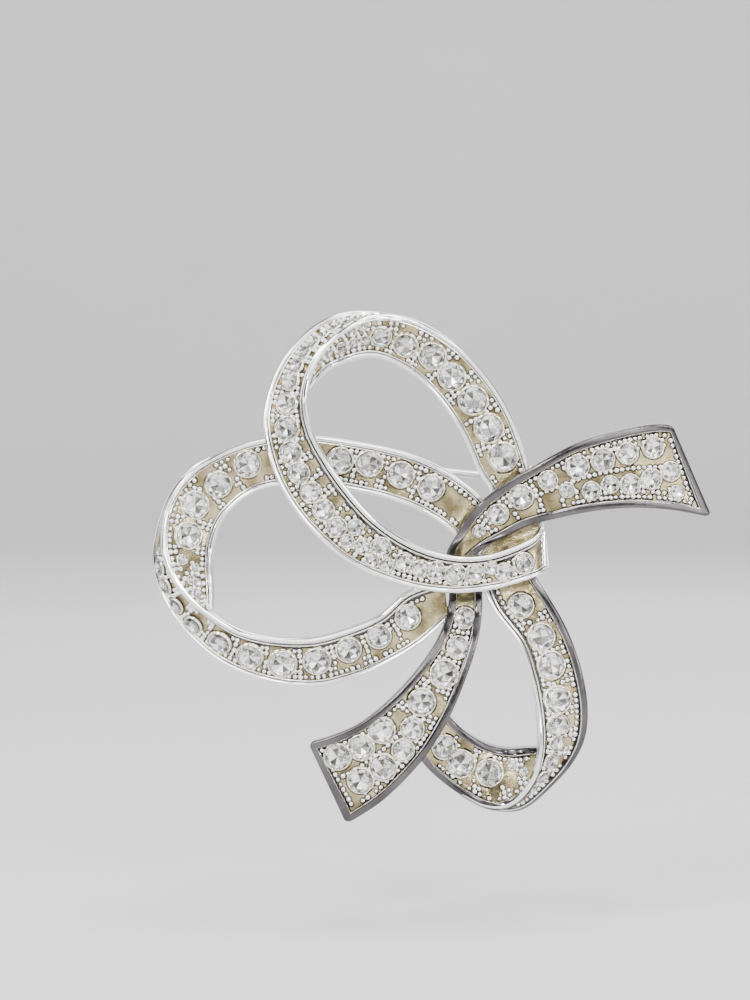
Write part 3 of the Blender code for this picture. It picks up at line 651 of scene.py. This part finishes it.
# runs a node tree on an object and keeps the result as a plain mesh
def grown(carrier, tree, choices):
    modifier = carrier.modifiers.new(tree.name, "NODES")
    modifier.node_group = tree
    for item in tree.interface.items_tree:
        if item.in_out == "INPUT" and item.name in choices:
            modifier[item.identifier] = choices[item.name]
    graph = bpy.context.evaluated_depsgraph_get()
    mesh = bpy.data.meshes.new_from_object(carrier.evaluated_get(graph))
    mesh.name = carrier.name
    if mesh.materials[0] is None:
        mesh.materials.pop(index=0)
    carrier.modifiers.clear()
    carrier.data = mesh
    return carrier


# bare points that carry a facing, a way ahead, a width and a number of their own, the glint that shifts a
# stone's painted facet glints
def seeded(name, points):
    mesh = bpy.data.meshes.new(name)
    mesh.from_pydata([entry[0] for entry in points], [], [])
    for label, column in (("facing", 1), ("ahead", 2)):
        stored = mesh.attributes.new(label, "FLOAT_VECTOR", "POINT")
        stored.data.foreach_set("vector", [part for entry in points for part in entry[column]])
    widths = [entry[3] for entry in points]
    glints = [k * 0.377 % 1.0 for k in range(len(points))]
    for label, values in (("width", widths), ("glint", glints)):
        stored = mesh.attributes.new(label, "FLOAT", "POINT")
        stored.data.foreach_set("value", values)
    made = bpy.data.objects.new(name, mesh)
    bpy.context.collection.objects.link(made)
    return made


# a stone's seat on the floor of its band, narrowed where the borders leave less room
def seatOf(name, x, z, width):
    band, edges = built[name], ribbons[name]["edges"]
    u, share = band.find(x, z)
    a, b, along, normal = band.at(u)
    span = (b - a).length / mm
    left, right = (min(setting["clearOf"][edge], 0.32 * span) for edge in edges)
    room = span - left - right
    width = min(width, 2 * (span * share - left) + 0.2, 2 * (span * (1 - share) - right) + 0.2, room)
    if width < 0.7:
        share = (left + room / 2) / span
        width = min(1.0, room)
    floor = a.lerp(b, share) - normal * bow["floorDrop"] * mm * min(1.0, span / bow["fullWidth"])
    return u, share, floor, along, normal, (b - a).normalized(), max(width, 0.5)


stoneTree = setterTree()
# (radius, height), up from the skirt at the foot, which carries painted shade
collarShape = [(0.49, -0.20), (0.645, -0.20), (0.635, -0.115), (0.585, -0.115),
               (0.57, -0.02), (0.545, 0.008), (0.515, 0.012), (0.495, 0.0)]
grainShape = [(0.50, -0.35), (0.74, -0.30), (0.70, 0.02), (0.50, 0.05),
              (0.49, 0.16), (0.42, 0.33), (0.27, 0.45), (0.10, 0.50)]
templates = {"stone": cutStone(), "collar": turned("collar", collarShape, 20, True, 3),
             "grain": turned("grain", grainShape, 10, False, 3)}
seats = {name: [seatOf(name, *entry) for entry in rows] for name, rows in stones.items()}


# beads raised from the floor: a cluster by each border where two stones meet, and the rows
def grainPlaces(name):
    found = []
    band, held = built[name], sorted(seats[name], key=lambda seat: seat[0])
    reaches = [borders[edge][-1][0] for edge in ribbons[name]["edges"]]
    small, large = setting["grain"]

    # millimetres along the band for one station
    def paceAt(u):
        a0, b0 = band.at(max(u - 0.02, 0.0))[:2]
        a1, b1 = band.at(min(u + 0.02, band.last))[:2]
        return max((a1 + b1 - a0 - b0).length / 2 / mm / 0.04, 0.5)

    def drop(u, side, inward, least=0.05):
        if not 0.05 <= u <= band.last - 0.02:
            return
        a, b, along, normal = band.at(u)
        span = (b - a).length / mm
        if span < 1.2:
            return
        reach = (min(reaches[side], 0.36 * span) + setting["offBorder"] + inward) / span
        share = 1 - reach if side else reach
        size = small + (large - small) * ((len(found) * golden) % 1.0)
        place = a.lerp(b, share) - normal * bow["floorDrop"] * mm * min(1.0, span / bow["fullWidth"])
        clear = min((place - seat[2]).length / mm - seat[6] / 2 for seat in held)
        apart = min([(place - other[0]).length / mm for other in found] or [9.0])
        if clear > least and apart > 0.86 * size and reach < 0.85:
            found.append((place, normal, along, size * mm))

    for one, two in zip(held, held[1:]):
        if (one[2] - two[2]).length / mm > setting["clusterGap"]:
            continue
        u = (one[0] + two[0]) / 2
        pace = paceAt(u)
        for side in (0, 1):
            for step, inward in setting["cluster"]:
                drop(u + step / pace, side, inward)
    for border, start, stop in beadRows[name]:
        if border == "end":
            u = band.last - (borders["rim"][-1][0] + setting["offBorder"]) / paceAt(band.last - 0.1)
            span = (band.at(u)[1] - band.at(u)[0]).length / mm
            for k in range(int(span / setting["rowPitch"])):
                drop(u, 0, k * setting["rowPitch"], -0.3)
            continue
        u = start
        while u < stop:
            inward = 0.0
            if border == "middle":
                span = (band.at(u)[1] - band.at(u)[0]).length / mm
                inward = 0.5 * span - min(reaches[0], 0.36 * span) - setting["offBorder"]
            drop(u, 1 if border == "right" else 0, inward)
            u += setting["rowPitch"] / paceAt(u)
    return found


nodeFor = {"upperBack": [f"stone_upper_back_{k:02d}" for k in range(1, 8)],
           "upperFront": ["upper_front_row"],
           "leftBack": [f"stone_left_back_{k:02d}" for k in range(1, 9)],
           "leftFront": [f"stone_left_front_{k:02d}" for k in range(1, 9)],
           "rightTail": ["right_tail_upper_row", "right_tail_lower_row"],
           "leftTail": [f"stone_left_tail_{k:02d}" for k in range(1, 12)],
           "lowerFront": [f"stone_lower_front_{k:02d}" for k in range(1, 6)],
           "lowerBack": [f"stone_lower_back_{k:02d}" for k in range(1, 4)]}

for name, held in seats.items():
    gems, rims = [], []
    for k, (u, share, floor, along, normal, across, width) in enumerate(held):
        spin = math.radians(37 * k % 45)
        ahead = along * math.cos(spin) + across * math.sin(spin)
        shrink = min(1.0, width / setting["fullStone"])
        gems.append((floor + normal * setting["girdleUp"] * mm * shrink, normal, ahead, width * mm))
        rims.append((floor + normal * setting["collarUp"] * mm * shrink, normal, along, width * mm))
    stonePiece = grown(seeded(name + "Stones", gems), stoneTree,
                       {"Template": templates["stone"], "Size": 1.0, "Finish": crystal, "Underside": foil})
    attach(stonePiece, "bow")
    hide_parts(*nodeFor[name])
    # the collars' and grains' skirts take the painted shade finish, a dark outline at their feet
    collars = grown(seeded(name + "Collars", rims), stoneTree,
                    {"Template": templates["collar"], "Size": 1.0, "Finish": seatPlate,
                     "Underside": paintedShadePlate})
    grains = grown(seeded(name + "Grains", grainPlaces(name)), stoneTree,
                   {"Template": templates["grain"], "Size": setting["grainSize"], "Finish": plate,
                    "Underside": paintedShadePlate})
    for piece in (collars, grains):
        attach(piece, "bow")
for item in templates.values():
    bpy.data.objects.remove(item)
print("stones set")


# the knot behind the wrap

knot = {"outline": [(5.6, -8.6), (5.6, -11.6), (13.2, -11.2), (13.6, -8.2)], "low": 1.0, "high": 6.3,
        "bevel": 0.5}


# rounds a piece's edges by a bevel in millimetres and keeps the result as a plain mesh
def finished(piece, bevel, segments=3):
    edge = piece.modifiers.new("edge", "BEVEL")
    edge.width = bevel * mm
    edge.segments = segments
    edge.limit_method = "ANGLE"
    graph = bpy.context.evaluated_depsgraph_get()
    mesh = bpy.data.meshes.new_from_object(piece.evaluated_get(graph))
    piece.modifiers.clear()
    piece.data = mesh
    for face in mesh.polygons:
        face.use_smooth = True
    mesh.set_sharp_from_angle(angle=math.radians(40))
    return piece


lumpRings = [[onFace(x, z, rise) for x, z in knot["outline"]] for rise in (knot["low"], knot["high"])]
lump = solidFrom("knotCore", lumpRings, lambda i, k: 0)
wear(finished(lump, knot["bevel"]), "bow", "solder_lump", backPlate)
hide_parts("knot_core")


# the pin fittings, in the pin's own frame: s along it, t across it on the face, y to the back

pin = {"tilt": 6.0, "reach": 12.0, "point": 14.6, "radius": 0.4, "knuckle": 0.95, "knuckleWidth": 0.9,
       "rivet": 0.3, "rivetHead": 0.42, "cheekGap": 1.05, "cheek": 0.5, "cheekRound": 0.9,
       "barrelBore": 1.18, "barrelOut": 1.6, "barrelLength": 2.4, "sleeveBore": 0.62, "sleeveOut": 1.12,
       "slot": 1.1, "leverAt": 145.0, "leverReach": 2.5, "leverHalf": 0.28, "footBevel": 0.16}
tilt = math.radians(pin["tilt"])
alongPin = Vector((math.cos(tilt), 0, -math.sin(tilt)))
acrossPin = Vector((math.sin(tilt), 0, math.cos(tilt)))
toBack = Vector((0, 1, 0))


def atPin(s, t, y):
    return (alongPin * s + acrossPin * t + toBack * y) * mm


def turnedAlong(name, profile, sides):
    rings = [[atPin(s, r * math.cos(math.tau * k / sides), r * math.sin(math.tau * k / sides))
              for k in range(sides)] for s, r in profile]
    return solidFrom(name, rings, lambda i, k: 0, 40.0)


def turnedAcross(name, s0, profile, sides=40):
    rings = [[atPin(s0 + r * math.cos(math.tau * k / sides), t, r * math.sin(math.tau * k / sides))
              for k in range(sides)] for t, r in profile]
    return solidFrom(name, rings, lambda i, k: 0, 40.0)


def pinBlock(name, s, t, y):
    ring = ((t[0], y[0]), (t[1], y[0]), (t[1], y[1]), (t[0], y[1]))
    return solidFrom(name, [[atPin(end, p, q) for p, q in ring] for end in s], lambda i, k: 0)


def merged(name, *pieces):
    shape = bmesh.new()
    for item in pieces:
        shape.from_mesh(item.data)
        bpy.data.objects.remove(item)
    return meshPiece(name, shape, 40.0)


# a tube with a slot towards the back
def splitBarrel(name, low, high, bore, outside, halfSlot, steps=48):
    inner, outer = math.asin(halfSlot / bore), math.asin(halfSlot / outside)
    ring = []
    for radius, gap, order in ((outside, outer, range(steps + 1)), (bore, inner, range(steps, -1, -1))):
        for k in order:
            angle = math.pi / 2 + gap + (math.tau - 2 * gap) * k / steps
            ring.append((radius * math.cos(angle), radius * math.sin(angle)))
    return solidFrom(name, [[atPin(s, p, q) for p, q in ring] for s in (low, high)], lambda i, k: 0)


hingeAt, catchAt = -pin["reach"], pin["reach"]
outCheek = pin["cheekGap"] / 2 + pin["cheek"]

footBlock = pinBlock("foot", (hingeAt - 1.5, hingeAt + 1.7), (-1.6, 1.6), (-3.8, -1.6))
foot = finished(footBlock, pin["footBevel"])
cheeks = []
for side in (-1, 1):
    wide = pin["cheekRound"]
    outline = [(-wide, -1.7), (wide, -1.7)]
    outline += [(wide * math.cos(math.pi * k / 14), 0.25 + wide * math.sin(math.pi * k / 14))
                for k in range(15)]
    near, far = sorted((side * pin["cheekGap"] / 2, side * outCheek))
    cheekRings = [[atPin(hingeAt + p, t, q) for p, q in outline] for t in (near, far)]
    cheeks.append(finished(solidFrom("cheek", cheekRings, lambda i, k: 0), 0.07, 2))
hinge = wear(merged("hingeBase", foot, *cheeks), "bow", "plated_metal", plate)
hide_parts("hinge_base")

head, shank, domed = outCheek + 0.14, pin["rivet"], pin["rivetHead"]
rivetShape = [(-head, 0.12), (-head + 0.03, shank), (-outCheek - 0.01, domed), (-outCheek, shank),
              (outCheek, shank), (outCheek + 0.01, domed), (head - 0.03, shank), (head, 0.12)]
rivet = wear(turnedAcross("hingeRivet", hingeAt, rivetShape), "bow", "plated_metal", plate)
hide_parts("hinge_rivet")

half, eyeRound = pin["knuckleWidth"] / 2, pin["knuckle"]
eye = turnedAcross("eye", hingeAt, [(-half, eyeRound - 0.1), (-half + 0.08, eyeRound),
                                    (half - 0.08, eyeRound), (half, eyeRound - 0.1)])
stemShape = [(hingeAt + 0.5, pin["radius"])]
stemShape += [(pin["point"] - back, radius) for back, radius in (
    (5.0, pin["radius"]), (3.4, 0.36), (1.8, 0.25), (0.7, 0.14), (0.15, 0.06), (0.0, 0.02))]
stem = turnedAlong("stem", stemShape, 28)
pinPiece = wear(merged("pinStem", eye, stem), "pin", "pin_steel", wire)
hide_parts("pin_stem")

low, high = catchAt - pin["barrelLength"] / 2, catchAt + pin["barrelLength"] / 2
halfSlot = pin["slot"] / 2
barrelTube = splitBarrel("barrel", low, high, pin["barrelBore"], pin["barrelOut"], halfSlot + 0.1)
barrel = finished(barrelTube, 0.06, 2)
catchBlock = pinBlock("catchFoot", (low - 0.3, high + 0.3), (-1.5, 1.5), (-4.7, -1.35))
catchFoot = finished(catchBlock, pin["footBevel"])
catchPiece = wear(merged("catchBase", barrel, catchFoot), "bow", "plated_metal", plate)
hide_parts("catch_base")

rollTube = splitBarrel("roll", low - 0.2, high + 0.95, pin["sleeveBore"], pin["sleeveOut"], halfSlot)
roll = finished(rollTube, 0.05, 2)
angle = math.radians(pin["leverAt"])
tip = Vector((math.cos(angle), math.sin(angle)))
aside = Vector((-tip.y, tip.x)) * pin["leverHalf"]
root, shoulder, tipAt = 0.85, 2.2, pin["leverReach"]
corners = [tip * root - aside, tip * shoulder - aside, tip * tipAt - aside * 0.5,
           tip * tipAt + aside * 0.5, tip * shoulder + aside, tip * root + aside]
leverRings = [[atPin(s, p.x, p.y) for p in corners] for s in (high + 0.2, high + 0.9)]
lever = solidFrom("lever", leverRings, lambda i, k: 0)
sleeve = wear(merged("catchSleeve", roll, finished(lever, 0.07, 2)), "sleeve", "plated_metal", plate)
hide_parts("catch_sleeve")
print("pin fittings made")


# floor, light and camera

# lengths in metres: a flat floor that bends up into a wall
studio = {"floorDown": 0.012, "front": -14.0, "wall": 0.9, "bend": 0.6, "height": 2.4, "halfWidth": 14.0,
          "paperPale": (0.74, 0.74, 0.74), "paperDeep": (0.71, 0.71, 0.715),
          "pale": (0.82, 0.82, 0.83), "paleStrength": 0.72, "seenMore": 0.30,
          "gloom": 0.05, "boxes": 5.4, "boxScale": 2.6}

ground = cadBox[0][2] - studio["floorDown"]
wall, bend = studio["wall"], studio["bend"]
sweep = [(studio["front"], ground), (-1.0, ground), (0.0, ground)]
sweep += [(wall + bend * math.sin(math.pi * k / 48), ground + bend * (1 - math.cos(math.pi * k / 48)))
          for k in range(25)]
sweep.append((wall + bend, ground + studio["height"]))
floorMesh = bpy.data.meshes.new("floor")
floorMesh.from_pydata([(x * studio["halfWidth"], y, z) for y, z in sweep for x in (-1, 1)], [],
                      [(2 * k, 2 * k + 1, 2 * k + 3, 2 * k + 2) for k in range(len(sweep) - 1)])
floorMesh.shade_smooth()
floorPiece = bpy.data.objects.new("floor", floorMesh)
bpy.context.collection.objects.link(floorPiece)


def floorPaper(nodes):
    return {"Base Color": blendOf(nodes, patch(nodes, 12.0), studio["paperPale"], studio["paperDeep"])}


floorMesh.materials.append(finish("floorPaper", floorPaper, Roughness=0.8))

# soft boxes all round in front; a plain pale room behind, and wherever the camera sees past the floor
world = bpy.data.worlds.new("studio")
bpy.context.scene.world = world
world.use_nodes = True
sky = Nodes(world.node_tree)
aim = sky.add("ShaderNodeTexCoord", output=0)
depthWay = sky.add("ShaderNodeSeparateXYZ", inputs={"Vector": aim}, output="Y")
cloud = sky.add("ShaderNodeTexNoise", inputs={"Vector": aim, "Scale": studio["boxScale"], "Detail": 1.0})
boxes = studio["gloom"] + studio["boxes"] * steep(sky, cloud, 0.53, 0.60)
behind = steep(sky, depthWay, -0.05, 0.25)
seen = sky.add("ShaderNodeLightPath", output="Is Camera Ray")
plain = sky.add("ShaderNodeMath", {"operation": "MAXIMUM"}, {0: behind, 1: seen})
background = world.node_tree.nodes["Background"]
background.inputs["Color"].default_value = (*studio["pale"], 1.0)
room = studio["paleStrength"] * plain + studio["seenMore"] * seen
sky.feed(background.inputs["Strength"], boxes * (1.0 - plain) + room)

# places and sizes in metres, power in watts; the glints are sparks for the stones
lamps = {
    "keyLeft": {"place": (-0.28, -0.34, 0.34), "size": 0.16, "power": 1.7},
    "keyRight": {"place": (0.26, -0.40, 0.24), "size": 0.10, "power": 0.8},
    "top": {"place": (0.02, -0.10, 0.46), "size": 0.30, "power": 1.9},
    "front": {"place": (-0.06, -0.52, 0.10), "size": 0.07, "power": 0.45},
    "lowRight": {"place": (0.34, -0.30, -0.01), "size": 0.05, "power": 0.22},
    "glintA": {"place": (-0.24, -0.26, 0.02), "size": 0.022, "power": 0.12},
    "glintB": {"place": (0.22, -0.28, -0.02), "size": 0.022, "power": 0.12},
    "glintC": {"place": (-0.10, -0.34, 0.17), "size": 0.022, "power": 0.12},
    "glintD": {"place": (0.12, -0.33, 0.15), "size": 0.022, "power": 0.12},
    "glintE": {"place": (0.03, -0.30, 0.26), "size": 0.022, "power": 0.12},
    "glintF": {"place": (-0.33, -0.16, 0.13), "size": 0.022, "power": 0.12},
    "rear": {"place": (0.10, 0.45, 0.30), "size": 0.25, "power": 1.0},
}
middle = Vector((0.0, -0.006, -0.010))
for name, how in lamps.items():
    lamp = bpy.data.lights.new(name, "AREA")
    lamp.shape = "DISK"
    lamp.size = how["size"]
    lamp.energy = how["power"]
    placed = bpy.data.objects.new(name, lamp)
    placed.location = how["place"]
    placed.rotation_euler = (middle - placed.location).to_track_quat("-Z", "Y").to_euler()
    bpy.context.collection.objects.link(placed)

# lift is in degrees above level, lens in millimetres
view = {"target": (-0.0040, -0.0060, -0.0032), "distance": 0.300, "lift": 2.5, "lens": 101.0}
camera = bpy.data.cameras.new("camera")
camera.lens = view["lens"]
camera.sensor_width = 36.0
camera.clip_start = 0.01
eyePoint = bpy.data.objects.new("camera", camera)
lift = math.radians(view["lift"])
eyePoint.location = Vector(view["target"]) + Vector((0, -math.cos(lift), math.sin(lift))) * view["distance"]
eyePoint.rotation_euler = (math.pi / 2 - lift, 0, 0)
bpy.context.collection.objects.link(eyePoint)
bpy.context.scene.camera = eyePoint
print("studio set")
